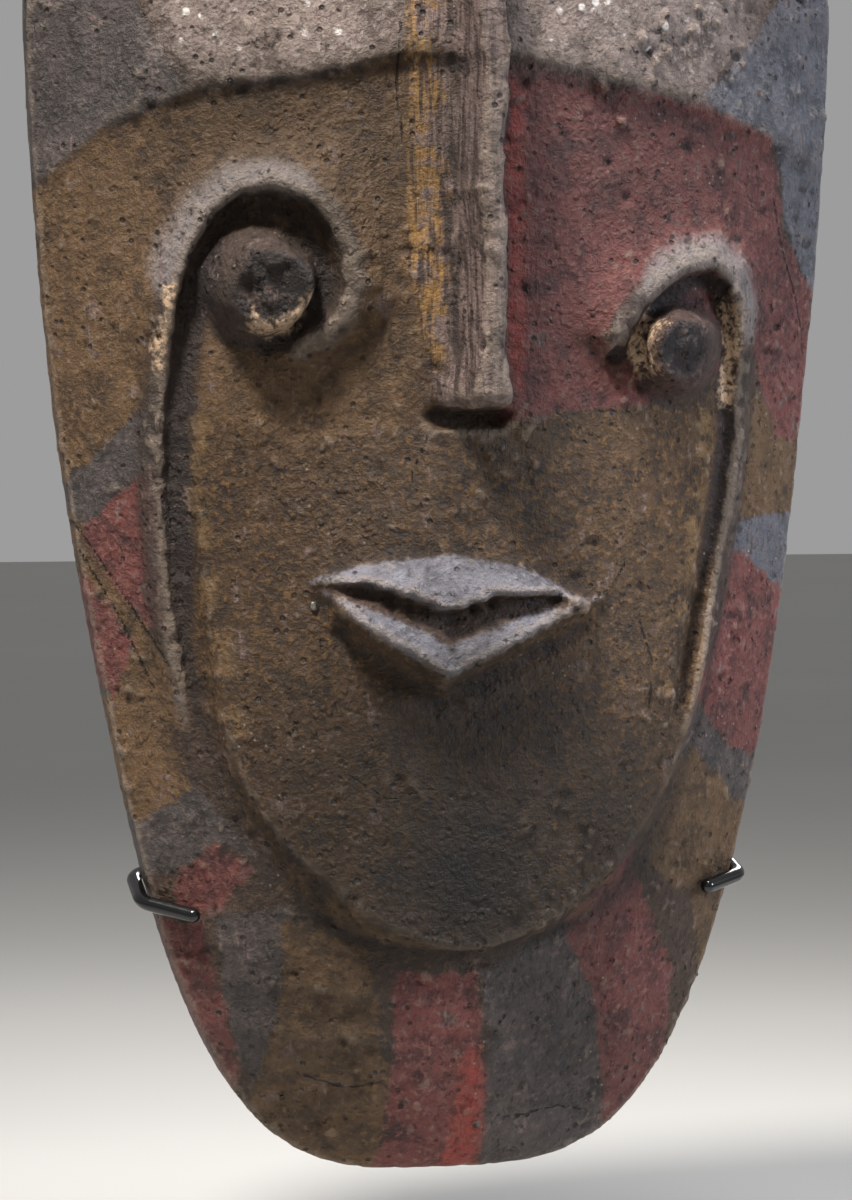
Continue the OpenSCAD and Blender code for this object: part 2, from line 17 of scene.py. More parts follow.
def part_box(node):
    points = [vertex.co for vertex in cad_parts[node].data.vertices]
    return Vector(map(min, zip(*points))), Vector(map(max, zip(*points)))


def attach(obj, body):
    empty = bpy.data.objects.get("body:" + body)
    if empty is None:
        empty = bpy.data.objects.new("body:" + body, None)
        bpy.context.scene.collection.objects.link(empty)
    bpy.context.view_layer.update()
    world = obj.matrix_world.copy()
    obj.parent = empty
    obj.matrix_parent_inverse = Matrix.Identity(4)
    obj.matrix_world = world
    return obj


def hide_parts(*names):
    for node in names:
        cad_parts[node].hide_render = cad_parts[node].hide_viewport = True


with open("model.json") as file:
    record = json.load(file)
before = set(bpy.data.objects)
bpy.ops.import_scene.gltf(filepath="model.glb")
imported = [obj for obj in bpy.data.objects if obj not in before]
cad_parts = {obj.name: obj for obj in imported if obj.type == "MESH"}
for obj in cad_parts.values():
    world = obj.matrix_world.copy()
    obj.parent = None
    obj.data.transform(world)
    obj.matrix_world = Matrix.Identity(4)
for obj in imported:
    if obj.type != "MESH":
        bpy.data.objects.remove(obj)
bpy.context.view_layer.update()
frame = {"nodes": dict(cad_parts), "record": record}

# %% [markdown]
# ## Measures
# The carver's lines are easiest to think about in millimetres across (x) and up (z). The block's
# own size is read from the frame, so the carving always fills the space that the frame gives it.

# %% Block measures
MM = 0.001
block_low, block_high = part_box("mask_body")
half_width = (block_high[0] - block_low[0]) / 2 / MM
top_z = block_high[2] / MM
low_z = block_low[2] / MM
rim_y = block_high[1] / MM
shoulder_z = 145.0
edge_t = 12.0
round_back = 107.7
ARCH_BEND = 2.2
CHIN_BEND, CHIN_FULL = 1.4, 3.55
wall_t = 16.0
rim_w = 14.0
chin_lean = 3.0
arch_rise = top_z - shoulder_z
chin_drop = shoulder_z - low_z
print(f"block {2 * half_width:.0f} mm wide, {top_z - low_z:.0f} mm tall, rim at y {rim_y:.0f} mm")


# %% Outline and round front
def half_w(z, inset=0.0):
    """Half width of the block at a level, or of a copy that is smaller all round."""
    up = np.clip((z - shoulder_z) / (arch_rise - inset), 0, 1)
    down = np.clip((shoulder_z - z) / (chin_drop - inset), 0, 1)
    arch = (1 - up ** ARCH_BEND) ** (1 / ARCH_BEND)
    chin = (1 - down ** CHIN_BEND) ** (1 / CHIN_FULL)
    return (half_width - inset) * np.where(z > shoulder_z, arch, chin)


def lean(z):
    """Sideways shift of the outline towards the chin."""
    return chin_lean * np.clip((10 - z) / 110, 0, 1)


def round_r(z):
    """Radius of the round front about the upright axis behind the mask."""
    return np.sqrt(half_w(z) ** 2 + (round_back + edge_t) ** 2)


def front_depth(x, z):
    """Distance of the plain round front from the rim plane."""
    return np.sqrt(np.maximum(round_r(z) ** 2 - x ** 2, round_back ** 2)) - round_back


print(f"front stands {front_depth(0.0, shoulder_z):.0f} mm proud of the rim at its widest level")

# %% [markdown]
# ## Drawing tools
# Carving in code needs a few simple tools: a soft step, the height of a drawn line, the distance
# to it, how far inside a drawn outline a place lies, and scattered spots. Each one works on all
# the vertices at once with numpy.

# %% Soft step, drawn lines and outlines
def step(a, b, v):
    """Rises softly from 0 at a to 1 at b."""
    t = np.clip((v - a) / (b - a), 0, 1)
    return t * t * (3 - 2 * t)


def along_line(line, x):
    """Height of a drawn line above each place across."""
    return np.interp(x, [p[0] for p in line], [p[1] for p in line])


def line_distance(line, x, z):
    """Distance to a drawn line, and the side of it: positive to the line's left."""
    best = np.full_like(x, 1e9)
    side = np.zeros_like(x)
    for (ax, az), (bx, bz) in zip(line[:-1], line[1:]):
        ex, ez = bx - ax, bz - az
        t = np.clip(((x - ax) * ex + (z - az) * ez) / (ex * ex + ez * ez), 0, 1)
        gap = np.hypot(x - ax - t * ex, z - az - t * ez)
        nearer = gap < best
        best = np.where(nearer, gap, best)
        side = np.where(nearer, np.sign(ex * (z - az) - ez * (x - ax)), side)
    return best, side


def inside(outline, x, z):
    """How far inside a closed outline a place lies. It is negative outside."""
    edge, _ = line_distance(outline + outline[:1], x, z)
    within = np.zeros(x.shape, bool)
    for (ax, az), (bx, bz) in zip(outline, outline[1:] + outline[:1]):
        crosses = (az > z) != (bz > z)
        rise = np.where(abs(bz - az) < 1e-9, 1e-9, bz - az)
        within ^= crosses & (x < (bx - ax) * (z - az) / rise + ax)
    return np.where(within, edge, -edge)


def scattered(x, z, cell, seed):
    """Distance to the nearest of many scattered spots, and that spot's own random number."""
    best = np.full_like(x, 1e9)
    chosen = np.zeros_like(x)
    cx, cz = np.floor(x / cell), np.floor(z / cell)
    for ox in (-1, 0, 1):
        for oz in (-1, 0, 1):
            gx, gz = cx + ox, cz + oz
            number = np.sin(gx * 127.1 + gz * 311.7 + seed * 74.7) * 43758.5453
            number = number - np.floor(number)
            other = np.sin(gx * 269.5 + gz * 183.3 + seed * 19.9) * 28001.83
            other = other - np.floor(other)
            gap = np.hypot((gx + number) * cell - x, (gz + other) * cell - z)
            nearer = gap < best
            best = np.where(nearer, gap, best)
            chosen = np.where(nearer, (number * 7.31 + other * 3.17) % 1.0, chosen)
    return best, chosen


# %% [markdown]
# ## The carver's lines
# These are the lines that a carver would draw on the block: the brow, the ridge that climbs beside
# the inner face and curls round each eye, and the edges of the two lip plates. The two sides don't
# match, because the mask was cut by eye.

# %% Lines of the face
BROW = [(-141, 82), (-116, 105), (-89, 116), (-59, 119), (-27, 126), (8, 127), (30, 122),
        (60, 115), (89, 108), (112, 101), (141, 92)]
LEFT_RIDGE = [(-90, -100), (-95, -75), (-100, -50), (-103, -18), (-103, 8), (-101.5, 26),
              (-99.5, 48), (-95.5, 64), (-88.5, 77), (-79, 85), (-68.5, 86.5), (-57.5, 83),
              (-49, 75), (-44, 64), (-43, 52), (-45.5, 43), (-51, 36), (-58, 33)]
RIGHT_RIDGE = [(84, -96), (88, -75), (92.5, -52), (97.5, -22), (100.5, 2), (100.5, 25),
               (98.5, 45), (94, 57), (85, 63), (74, 61), (62.5, 54.5), (54, 46.5), (49, 37)]
FACE_LEFT_W, FACE_RIGHT_W = 92.0, 93.5
FACE_TOP, FACE_DROP = 15.0, 185.5
LEFT_EYE, RIGHT_EYE = (-69.0, 51.0), (70.5, 32.0)
print(f"the left eye sits {LEFT_EYE[1] - RIGHT_EYE[1]:.0f} mm higher than the right one")


def face_edge(x, z):
    """How far inside the inner face a place lies, across the face."""
    down = np.clip((FACE_TOP - z) / FACE_DROP, 0, 1)
    full = (1 - down ** 3.2) ** (1 / 2.1)
    width = np.where(x < 0, FACE_LEFT_W, FACE_RIGHT_W) * full
    across = width - abs(x)
    below = z - (FACE_TOP - FACE_DROP)
    slope = np.clip((below - 25) / 45, 0, 1)
    steep = 0.35 + 0.65 * slope
    return np.where(below > 0, across * steep, np.minimum(across, below) - 2)


# %% [markdown]
# ## The big forms
# Each form is one function that says how high it stands over the plain round front. Small
# functions are easy to change one at a time, and adding them up gives the whole relief.

# %% Forehead, inner face and ridges
def forehead(x, z):
    over = z - along_line(BROW, x)
    shelf = 2.6 * step(-3, 4, over)
    falls_back = -0.11 * np.clip(over - 3, 0, 70)
    under = -1.0 * np.exp(-((over + 13) / 9) ** 2)
    left_lobe = 3.2 * np.exp(-((x + 60) / 42) ** 2 - ((z - 162) / 30) ** 2)
    right_lobe = 3.0 * np.exp(-((x - 58) / 40) ** 2 - ((z - 160) / 28) ** 2)
    return shelf + falls_back + left_lobe + right_lobe + under * step(4, 30, abs(x))


def inner_face(x, z):
    edge = face_edge(x, z)
    rise = 9.0 * np.clip((22 - z) / 190, 0, 1)
    plate = rise * step(-1.0, 4.5, edge)
    groove = -2.6 * np.exp(-((edge + 2.8) / 2.4) ** 2) * step(-30, -90, z)
    seam = 0.8 * np.exp(-((edge + 0.4) / 1.1) ** 2) * step(-128, -150, z)
    return plate + groove + seam


def ridge(line, inner_side, inner_w, groove_at, groove_w, x, z):
    """Flat-topped beside the face, and softer on its outer side where it curls round the eye."""
    gap, side = line_distance(line, x, z)
    fade = step(-108, -70, z)
    curl = step(18, 50, z)
    late = curl * step(75, 45, abs(x))
    signed = gap * side * inner_side
    outer_w = 4.2 + 4.0 * curl + 4.0 * late
    outer = np.exp(-(np.clip(-signed, 0, None) / outer_w) ** (3.6 - 1.8 * curl))
    inner = np.exp(-(np.clip(signed, 0, None) / inner_w) ** 6)
    crest = (4.4 + 3.6 * curl) * np.where(signed > 0, inner, outer)
    depth = 3.0 + 0.6 * curl
    channel = -depth * np.exp(-((signed - groove_at) / groove_w) ** 4)
    return (crest + channel) * fade


# %% Eye knobs
def polar(eye, x, z):
    dx, dz = x - eye[0], z - eye[1]
    return np.hypot(dx, dz), np.arctan2(dz, dx)


def knob_rim(eye, rim_r, reach, x, z):
    """Radius of the knob's foot, which spreads further on one side."""
    _, angle = polar(eye, x, z)
    wobble = 0.8 * np.sin(3 * angle + 1) + 0.5 * np.sin(5 * angle)
    return rim_r + 3.0 * np.cos(angle - reach) + wobble


def pupil_gap(eye, sides, turn, x, z):
    """Distance from the middle of a pupil cut with straight knife strokes."""
    gap, angle = polar(eye, x, z)
    sector = 2 * math.pi / sides
    return gap * np.cos(((angle + turn) % sector) - sector / 2) / math.cos(sector / 2) ** 0.5


def knob(pupil, pupil_r, rim_r, reach, height, x, z):
    """A sloping mound with a flat knife-cut pupil and a small shelf over it."""
    eye = pupil[0]
    gap, angle = polar(eye, x, z)
    foot = knob_rim(eye, rim_r, reach, x, z) + 3.2 + 3.4 * np.clip(np.cos(angle - reach), 0, 1)
    mound = height * step(foot, pupil_r + 0.2, gap) ** 0.8
    within = step(pupil_r + 0.7, pupil_r - 0.7, pupil_gap(*pupil, x, z))
    sunk = (0.16 * (z - eye[1]) - 1.9) * within
    shelf = 1.8 * np.exp(-((gap - pupil_r - 2.8) / 2.4) ** 2) * step(0.1, 0.9, np.sin(angle + 0.2))
    return mound + sunk + shelf


def under_knob(eye, rim_r, reach, x, z):
    gap, angle = polar(eye, x, z)
    foot = knob_rim(eye, rim_r, reach, x, z)
    return -3.6 * np.exp(-((gap - foot - 4.5) / 3.6) ** 2) * step(0.35, -0.5, np.sin(angle))


# Each knob has an eye, the radius of its foot and the way that it reaches. Each pupil has an eye,
# a number of knife strokes and a turn.
LEFT_KNOB, RIGHT_KNOB = (LEFT_EYE, 14.6, 2.6), (RIGHT_EYE, 13.0, -0.2)
LEFT_PUPIL, RIGHT_PUPIL = (LEFT_EYE, 5, 0.45), (RIGHT_EYE, 6, 0.2)
LEFT_KNOB_RISE, RIGHT_KNOB_RISE = 16.5, 15.0


def eyes(x, z):
    left = knob(LEFT_PUPIL, 11.0, *LEFT_KNOB[1:], LEFT_KNOB_RISE, x, z)
    right = knob(RIGHT_PUPIL, 8.6, *RIGHT_KNOB[1:], RIGHT_KNOB_RISE, x, z)
    top_x, top_z = x - RIGHT_EYE[0] - 2, z - RIGHT_EYE[1] - 3
    right += 2.4 * np.exp(-(top_x ** 2 + top_z ** 2) / 24)
    return np.maximum(left, right)


print(f"knobs rise {LEFT_KNOB_RISE} and {RIGHT_KNOB_RISE} mm")


# %% Nose and the notch under it
NOSE_LOW = 13.0
NOSE_HIGH = 215.0


def nose(x, z):
    wander = 0.8 * np.sin(z / 21.0) + 0.5 * np.sin(z / 9.0 + 1.3) - 2.6 * step(125, 160, z)
    flare = 1 + 0.45 * step(34, 15, z)
    local = (x - wander) / flare
    section = np.interp(local, [-9.5, -8.5, -2.8, 1.0, 5.2, 6.6], [0, 1.2, 16.6, 18, 17.2, 0])
    along = step(NOSE_LOW - 0.8, NOSE_LOW + 0.8, z) * (1 - 0.85 * step(150, NOSE_HIGH, z))
    root = 2.6 * np.interp(x, [-25, -20, -9, 8], [0, 0.5, 1, 0]) * step(6, 20, z)
    return section * along + root * (1 - step(150, 205, z))


def notch(x, z):
    arch = 6.5 - 1.8 * ((x + 2) / 15) ** 2
    across = step(-19, -14, x) * step(14, 9, x)
    low = NOSE_LOW - arch
    up = step(low - 1.5, low + 0.5, z) * step(NOSE_LOW + 0.8, NOSE_LOW - 0.8, z)
    return -5.5 * across * up


print(f"nose from z {NOSE_LOW:.0f} to {NOSE_HIGH:.0f} mm")


# %% Lip plates
UPPER_TOP = [(-54, -45), (-51, -42.5), (-31, -37.5), (-8, -35.5), (16, -39.5), (36, -50),
             (41, -53)]
UPPER_LOW = [(-54, -45.5), (-37, -46), (-23, -50.5), (-10, -55), (6.5, -50), (22, -49.5),
             (41, -53)]
LOWER_TOP = [(-52, -47), (-37, -48.5), (-23, -53), (-10, -58), (6.5, -53), (22, -51.8),
             (36, -52.4), (46, -50.5)]
LOWER_MID = [(-50, -48.5), (-36, -53.5), (-23, -59), (-10, -66), (6.5, -59.5), (22, -55),
             (36, -52.8), (45, -50.8)]
LOWER_LOW = [(-52, -49), (-34.5, -62.5), (-10.5, -76.5), (14, -64.5), (36, -53.5), (46, -51)]


def lips(x, z):
    ends = step(-53, -44, x) * step(46, 36, x)
    top, low = along_line(UPPER_TOP, x), along_line(UPPER_LOW, x)
    part = np.clip((top - z) / np.maximum(top - low, 0.5), 0, 1)
    upper = (1.0 + 9.8 * part ** 0.9 * ends) * step(-0.4, 0.4, top - z) * step(-0.4, 0.5, z - low)
    within = step(-54, -53, x) * step(41.5, 40.5, x)
    top2, low2 = along_line(LOWER_TOP, x), along_line(LOWER_LOW, x)
    part2 = np.clip((top2 - z) / np.maximum(top2 - low2, 0.5), 0, 1)
    under = np.clip(1 + (z - low2) / 6.5, 0, 1) ** 1.6
    under = np.where(z < low2 - 0.4, 0.92 * under * ends, step(-0.4, 0.5, z - low2))
    lower = (2.8 + 9.6 * part2 ** 0.9 * ends) * step(-0.4, 0.4, top2 - z) * under
    within2 = step(-52.5, -51.5, x) * step(46.5, 45.5, x)
    groove = 0.6 * step(0, 1.5, low - z) * step(0, 1.5, z - top2) * ends
    halo = -1.6 * np.exp(-((z - low2 + 9.0) / 3.0) ** 2) * ends
    return np.maximum(upper * within, lower * within2) + groove + halo * (z < low2)


# %% Adze work: broad flats and slow waves
def adze(x, z):
    wave = 0.7 * np.sin(x / 27 + 0.6 * np.sin(z / 31)) * np.sin(z / 23 + 0.8)
    near, pick = scattered(x, z, 34, 5)
    scoop = -0.9 * np.exp(-(near / 15) ** 2) * (pick - 0.3)
    chin_cuts = 0.7 * np.sin(z / 3.1 + 0.05 * x) * step(-178, -190, z) * step(-215, -200, z)
    return wave + scoop + chin_cuts


def carve(x, z):
    height = forehead(x, z) + inner_face(x, z) + adze(x, z)
    height += ridge(LEFT_RIDGE, -1, 3.4, 8.2, 4.0, x, z)
    height += ridge(RIGHT_RIDGE, 1, 4.4, 8.4, 2.8, x, z)
    height += under_knob(*LEFT_KNOB, x, z) + under_knob(*RIGHT_KNOB, x, z)
    height = np.maximum(height, 0.25 * height + eyes(x, z))
    return height + nose(x, z) + notch(x, z) + lips(x, z)


# %% [markdown]
# ## The block and its hollow
# The front starts as a flat grid that is bent to the outline and pushed out to the carved depth.
# A second grid makes the hollow. Bridging the two edges makes the flat rim, and gives one closed
# block, as the real mask is one piece of wood.

# %% Bend a grid to the outline
SHOULDER_SHARE = 0.62
SIDE_BEND = 2.15


def levels(share, inset):
    """Height for a share of the way up, with more levels where the outline turns quickly."""
    part = np.where(share < SHOULDER_SHARE, 90 / SHOULDER_SHARE, 90 / (1 - SHOULDER_SHARE))
    turn = (share - SHOULDER_SHARE) * part
    sine = np.sin(np.radians(abs(turn)))
    down = shoulder_z - (chin_drop - inset) * sine ** (2 / CHIN_BEND)
    up = shoulder_z + (arch_rise - inset) * sine ** (2 / ARCH_BEND)
    return np.where(turn < 0, down, up)


def bent_grid(bm, across, up, inset, depth_of):
    made = bmesh.ops.create_grid(bm, x_segments=across, y_segments=up, size=1.0)["verts"]
    flat = np.array([v.co[:2] for v in made])
    z = levels((flat[:, 1] + 1) / 2, inset)
    bend = np.sin(flat[:, 0] * math.pi / SIDE_BEND)
    x = lean(z) + half_w(z, inset) * bend / math.sin(math.pi / SIDE_BEND)
    depth = depth_of(x, z)
    for vert, px, pz, pd in zip(made, x, z, depth):
        vert.co = Vector((px, rim_y - pd, pz))


nail_low, nail_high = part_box("mouth_nail")
NAIL = ((nail_low[0] + nail_high[0]) / 2 / MM, (nail_low[2] + nail_high[2]) / 2 / MM)
nail_seat = rim_y - nail_low[1] / MM - 1.2


def by_nail(x, z):
    """1 at the nail and 0 away from it."""
    return step(7.0, 3.0, np.hypot(x - NAIL[0], z - NAIL[1]))


def carved_depth(x, z):
    near_edge = half_w(z) - abs(x - lean(z))
    fade = step(0, 6, near_edge)
    depth = np.maximum(front_depth(x, z) + carve(x, z) * fade, 9.0)
    return depth + (nail_seat - depth) * by_nail(x, z)


def hollow_depth(x, z):
    inner_r = np.maximum(round_r(z) - wall_t, round_back)
    near_edge = half_w(z, rim_w) - abs(x - lean(z))
    dish = np.sqrt(np.maximum(inner_r ** 2 - x ** 2, round_back ** 2)) - round_back
    return dish * step(0, 5, near_edge) + 0.4 * step(0, 5, near_edge)


# %% Join front, rim and hollow
GRID = (250, 430)


def new_piece(name, bm):
    """Turns a finished bmesh into an object in the scene."""
    mesh = bpy.data.meshes.new(name)
    bm.to_mesh(mesh)
    bm.free()
    piece = bpy.data.objects.new(name, mesh)
    bpy.context.scene.collection.objects.link(piece)
    return piece


bm = bmesh.new()
bent_grid(bm, *GRID, 0.0, carved_depth)
edge_loop = [e for e in bm.edges if e.is_boundary]
walls = bmesh.ops.extrude_edge_only(bm, edges=edge_loop)["geom"]
for item in walls:
    if isinstance(item, bmesh.types.BMVert):
        item.co.y = rim_y
rim_outer = [e for e in bm.edges if e.is_boundary]
bent_grid(bm, *GRID, rim_w, hollow_depth)
known = set(rim_outer)
rim_inner = [e for e in bm.edges if e.is_boundary and e not in known]
bmesh.ops.bridge_loops(bm, edges=rim_outer + rim_inner)
bmesh.ops.remove_doubles(bm, verts=bm.verts, dist=0.02)
bmesh.ops.recalc_face_normals(bm, faces=bm.faces)
bmesh.ops.scale(bm, vec=(MM, MM, MM), verts=bm.verts)
carving = new_piece("mask_carving", bm)
print("block:", len(carving.data.vertices), "vertices")


# %% [markdown]
# ## Even out the mesh
# The bent grid is stretched on the sides of the nose and under the lips. A voxel remesh gives
# even, small faces everywhere, so that knocks, lumps and worn edges can be worked into any side.
# The hollow needs less detail, so a decimate that is held to it keeps the mesh light. The voxel
# can't be much finer: the hollow then has to give up so many faces that the few large ones left
# cut through the thin wall beside the nose.

# %% Remesh and lighten the hollow
VOXEL = 1.6 * MM
MOST_TRIANGLES = 194000


def apply_modifiers(piece):
    """Turns the live modifiers into plain mesh."""
    graph = bpy.context.evaluated_depsgraph_get()
    fresh = bpy.data.meshes.new_from_object(piece.evaluated_get(graph))
    old = piece.data
    piece.modifiers.clear()
    piece.data = fresh
    bpy.data.meshes.remove(old)
    fresh.name = piece.name


def per_vertex(mesh, what):
    flat = np.empty(len(mesh.vertices) * 3)
    mesh.vertices.foreach_get(what, flat)
    return flat.reshape(-1, 3)


def coordinates(mesh):
    """Places in millimetres."""
    return per_vertex(mesh, "co") / MM


def normals(mesh):
    return per_vertex(mesh, "normal")


def inner_side(place, outward):
    """True in the hollow and on the rim."""
    x, y, z = place.T
    depth = rim_y - y
    mid_r = round_r(z) - wall_t / 2
    behind = (y - rim_y - round_back) ** 2 + x ** 2 < mid_r ** 2
    inset = half_w(z) - abs(x - lean(z)) > 3
    faces_back = outward[:, 1]
    return (behind & inset & (faces_back > -0.3)) | (faces_back > 0.25) | (depth < 0.8)


remesh = carving.modifiers.new("even", "REMESH")
remesh.mode = "VOXEL"
remesh.voxel_size = VOXEL
apply_modifiers(carving)
place = coordinates(carving.data)
group = carving.vertex_groups.new(name="hollow")
inner = inner_side(place, normals(carving.data))
group.add([int(i) for i in np.flatnonzero(inner)], 1.0, "REPLACE")
quads = len(carving.data.polygons)
lighten = carving.modifiers.new("lighten", "DECIMATE")
lighten.ratio = min(1.0, MOST_TRIANGLES / (2 * quads))
lighten.vertex_group = "hollow"
lighten.vertex_group_factor = 1.0
apply_modifiers(carving)
print("even mesh:", quads, "quads, then", len(carving.data.polygons), "faces")

# %% [markdown]
# ## Knocks, lumps and grain
# Old paint on such a carving is thick and crusty: it has lumps, blisters and pits, and the wood's
# edges are knocked. Each vertex moves a little along its own normal. The noise is always the same
# for the same place, so the result never changes from run to run.


# %% Work the surface
def surface_noise(place, scale, octaves, shift):
    """Fractal noise at every vertex, from about -1 to 1."""
    offset = Vector((shift, shift * 0.7, -shift))
    return np.array([
        noise.fractal(Vector(p) * scale + offset, 1.0, 2.0, octaves) for p in place])


def crust(place, outward):
    x, z = place[:, 0], place[:, 2]
    y = place[:, 1]
    rough = surface_noise(place, 0.16, 3, 3.1)
    patchy = step(-0.2, 0.4, surface_noise(place, 0.035, 3, 9.4))
    facing = np.where(abs(outward[:, 1]) > 0.5, 1.0, 0.4)
    wobble = 2.5 * rough
    lump_gap, lump_pick = scattered(x + 0.5 * y + wobble, z - wobble, 8.5, 1)
    lumps = 1.0 * np.exp(-(lump_gap / 1.5) ** 2) * (lump_pick > 0.70) * (0.3 + lump_pick * patchy)
    small_gap, small_pick = scattered(x - 0.4 * y - wobble, z + wobble, 5.2, 7)
    lumps += 0.75 * np.exp(-(small_gap / 1.0) ** 2) * (small_pick > 0.66) * patchy
    pit_gap, pit_pick = scattered(x - 0.5 * y + wobble, z, 12.0, 2)
    pits = -0.9 * np.exp(-(pit_gap / 1.5) ** 2) * (pit_pick > 0.75)
    thick = 1.0 + 0.5 * step(10, 40, z) * step(-30, 10, x) + 0.4 * step(100, 130, z)
    return 0.4 * rough * (0.5 + patchy) + (lumps + pits) * facing * thick


mesh = carving.data
place, outward = coordinates(mesh), normals(mesh)
hollow_side = inner_side(place, outward)
moved = crust(place, outward) * (1 - by_nail(place[:, 0], place[:, 2]))
chisel_x = place[:, 0] + 6 * np.sin(place[:, 2] / 40)
gouge = 1.1 * abs(np.sin(chisel_x / 8.5)) + 0.5 * np.sin(place[:, 2] / 17 + place[:, 0] / 30)
moved = np.where(hollow_side, gouge - 0.8, moved)
moved = np.where(rim_y - place[:, 1] < 2.0, np.minimum(moved * 0.2, 0.0), moved)
place = place + outward * moved[:, None]
BOX_GAP = 0.05
limit_low = np.array(block_low) / MM + BOX_GAP
limit_high = np.array(block_high) / MM - BOX_GAP
place = np.clip(place, limit_low, limit_high)
mesh.vertices.foreach_set("co", (place * MM).ravel())
mesh.update()
print(f"moved up to {abs(moved).max():.1f} mm")

# %% [markdown]
# ## Where each pigment lies
# The painter used a few pigments over a brown ground: ochre, red, grey and white. For each one the
# mesh stores how far inside its painted areas a vertex lies, in millimetres. The finish later
# breaks that edge up with fine noise, so it is crisp and ragged as brushed paint is.
#
# The shade and grime table is a list of places, each with a share of the paint's brightness that
# is left there. Most are near 1. It is partly grime and partly painted light and shade: shares
# below 1 hold grime and painted shade, and shares above 1 are painted light. The ones under the
# mouth are far lower than dirt alone would give: they are a painted deep shadow that these lamps
# don't make. In other light the chin may look too dark, and these are the numbers to raise then.
# How far is a matter of trying.

# %% Painted areas
OCHRE_AREAS = [
    [(-146, 78), (-119, 104), (-92, 115), (-59, 119), (-26, 128), (-22, 200), (-7, 200),
     (-8, 20), (-20, 5), (-60, -2), (-90, 8), (-103, 20), (-115, 2), (-132, -16)],
    [(-128, -22), (-122, -28), (-98, -70), (-94, -92), (-89, -116), (-106, -128), (-120, -96),
     (-107, -66), (-124, -44)],
    [(-59, -158), (-32, -171), (-23, -210), (-22, -260), (-52, -260), (-68, -228), (-60, -195)],
    [(-93, 10), (93, 10), (92, -50), (84, -90), (70, -125), (40, -150), (0, -160), (-45, -148),
     (-75, -118), (-88, -70)],
    [(103, 18), (130, 6), (130, -24), (101, -26)],
    [(84, -104), (112, -128), (112, -172), (97, -197), (90, -160), (66, -142)],
]
RED_AREAS = [
    [(6, 127), (27, 122), (56, 118), (89, 111), (110, 105), (116, 90), (117, 74), (134, 52),
     (134, 0), (118, 3), (106, 30), (60, 13), (30, 11), (7, 7)],
    [(-124, -29), (-113, -16), (-103, -6), (-100, -40), (-98, -64), (-106, -58), (-124, -32)],
    [(-127, -38), (-108, -66), (-113, -86), (-122, -74)],
    [(-92, -144), (-81, -134), (-69, -143), (-80, -157), (-93, -160)],
    [(-98, -162), (-85, -162), (-77, -189), (-69, -226), (-84, -216)],
    [(-22, -178), (6, -179), (12, -215), (14, -262), (-24, -262), (-21, -224)],
    [(60, -136), (35, -160), (49, -186), (62, -244), (82, -219), (82, -182), (68, -156)],
    [(94, -40), (100, -36), (128, -54), (122, -112), (99, -104), (84, -86)],
]
GREY_AREAS = [
    [(-150, 210), (-112, 210), (-108, 147), (-101, 130), (-92, 117), (-119, 104), (-146, 80)],
    [(80, 116), (104, 136), (128, 160), (150, 170), (150, 60), (133, 52), (118, 74), (117, 90),
     (111, 104), (89, 111)],
    [(-134, -14), (-104, 14), (-102, -14), (-124, -30)],
    [(-122, -66), (-107, -64), (-93, -84), (-95, -100), (-116, -100)],
    [(-110, -124), (-88, -114), (-68, -138), (-80, -134), (-92, -145), (-104, -146)],
    [(-80, -160), (-56, -154), (-53, -188), (-64, -228), (-76, -192)],
    [(8, -178), (36, -164), (50, -188), (61, -248), (15, -262), (12, -215)],
    [(100, -26), (131, -26), (129, -54), (97, -38)],
    [(83, -81), (100, -103), (120, -112), (113, -128), (86, -124), (80, -104)],
]
WHITE_AREAS = [
    [(-104, 260), (-104, 132), (-92, 121), (-68, 119), (-42, 124), (-26, 134), (-24, 260)],
    [(8, 260), (8, 128), (27, 123), (56, 119), (80, 118), (104, 138), (116, 260)],
]
PLATE_AREAS = [UPPER_TOP + UPPER_LOW[::-1][1:-1], LOWER_MID + LOWER_LOW[::-1][1:-1]]
MOUTH_AREAS = [LOWER_TOP + LOWER_LOW[::-1][1:-1]]
FACE_AREAS = [[(-94, 14), (-60, 0), (-20, 6), (7, 7), (30, 11), (60, 13), (94, 16), (94, -22),
               (88, -55), (82, -90), (71, -124), (45, -155), (28, -166), (-4, -172), (-32, -164),
               (-52, -153), (-67, -137), (-78, -119), (-87, -85), (-92, -40)]]
STRIP_AREAS = [[(-25, 200), (-9, 200), (-9, 22), (-17, 20), (-24, 60)]]
# Grey on the right side, painted paler and bluer: real grey paint with a painted cool light.
COOL_LIT_GREY_AREAS = [[(82, 118), (104, 138), (128, 168), (160, 230), (160, 70), (133, 52), (120, 74),
                    (117, 92), (111, 104), (89, 111)],
                   [(100, -27), (133, -24), (130, -54), (97, -42)]]
BRIGHT_RED_AREAS = [[(4, -205), (10, -205), (12, -262), (-2, -262)],
                    [(8, 120), (14, 118), (16, 20), (8, 18)]]
CRACKS = [[(-127, -25), (-114, -45), (-97, -74)], [(-124, -36), (-112, -58), (-101, -82)],
          [(113, 84), (118, 66), (127, 48), (131, 30)], [(-16, 4), (-22, -10), (-17, -24)],
          [(-30, 190), (-27, 150), (-28, 118), (-25, 90)], [(42, -52), (50, -47), (55, -38)],
          [(20, -232), (40, -229), (52, -232)], [(-52, -214), (-36, -219), (-24, -217)],
          [(60, -60), (66, -75), (64, -92)], [(-40, -110), (-28, -118), (-12, -114)]]
